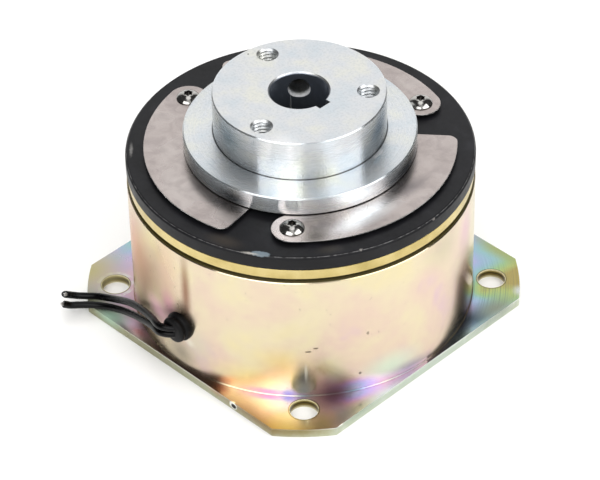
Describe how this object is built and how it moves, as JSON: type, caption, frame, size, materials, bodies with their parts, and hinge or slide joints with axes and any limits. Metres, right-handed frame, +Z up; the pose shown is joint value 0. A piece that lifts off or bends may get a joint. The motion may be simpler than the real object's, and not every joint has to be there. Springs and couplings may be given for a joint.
{
  "type": "electromagnetic power-on brake",
  "caption": "Flange-mounted electromagnetic power-on brake: round plated field on a square plate, black armature disc on leaf springs and a keyed hub with tapped face holes.",
  "frame": {"origin": "centre of the mounting plate's lower face, on the shaft axis", "axes": "+Z up along the shaft axis, from the mounting plate to the hub; +X through the hub's keyway, square to one straight side of the plate; the leads leave towards -Y"},
  "size_m": [0.1168, 0.1252, 0.0839],
  "materials": {
    "mounting_plate": "yellow zinc chromate over steel, glossy",
    "field_housing": "yellow zinc chromate over steel, glossy",
    "outer_pole_ring": "yellow zinc chromate over steel, deeper gold",
    "inner_pole": "turned and zinc plated",
    "core_screws": "black oxide",
    "coil_bobbin": "natural nylon",
    "coil_winding": "enamelled copper wire",
    "coil_tape": "polyester tape",
    "coil_potting": "cast epoxy",
    "friction_ring": "ground friction lining",
    "lead_bushing": "matte black",
    "lead_splices": "shrink sleeve",
    "lead_wires": "satin black insulation",
    "lead_strands": "tinned copper strands",
    "armature_hub": "turned and zinc plated, bright",
    "set_screw": "black oxide",
    "hub_rivets": "zinc plated",
    "leaf_springs": "stamped stainless spring steel, satin",
    "armature_disc": "satin black oxide",
    "armature_screws": "bright stainless",
    "spring_spacers": "zinc plated"
  },
  "bodies": {
    "field": {"mounting_plate": "mounting_plate", "field_housing": "field_housing", "outer_pole_ring": "outer_pole_ring", "inner_pole": "inner_pole", "core_screws": "core_screws", "coil_bobbin": "coil_bobbin", "coil_winding": "coil_winding", "coil_tape": "coil_tape", "coil_potting": "coil_potting", "friction_ring": "friction_ring", "lead_bushing": "lead_bushing", "lead_splices": "lead_splices", "lead_wire_1": "lead_wires", "lead_wire_2": "lead_wires", "lead_strands": "lead_strands"},
    "hub": {"armature_hub": "armature_hub", "set_screw": "set_screw", "hub_rivets": "hub_rivets", "leaf_spring_1": "leaf_springs", "leaf_spring_2": "leaf_springs", "leaf_spring_3": "leaf_springs"},
    "armature": {"armature_disc": "armature_disc", "armature_screws": "armature_screws", "spring_spacers": "spring_spacers"}
  },
  "joints": [
    {"name": "armature_spin", "type": "hinge", "parent": "field", "child": "hub", "pos_m": [0, 0, 0], "axis": [0, 0, 1], "continuous": true},
    {"name": "armature_pull_in", "type": "slide", "parent": "hub", "child": "armature", "axis": [0, 0, 1], "range_m": [-0.00049, 0], "stiffness_N_per_m": 40000, "springref_m": 0.00008, "deforming": ["leaf_spring_1", "leaf_spring_2", "leaf_spring_3"]}
  ]
}
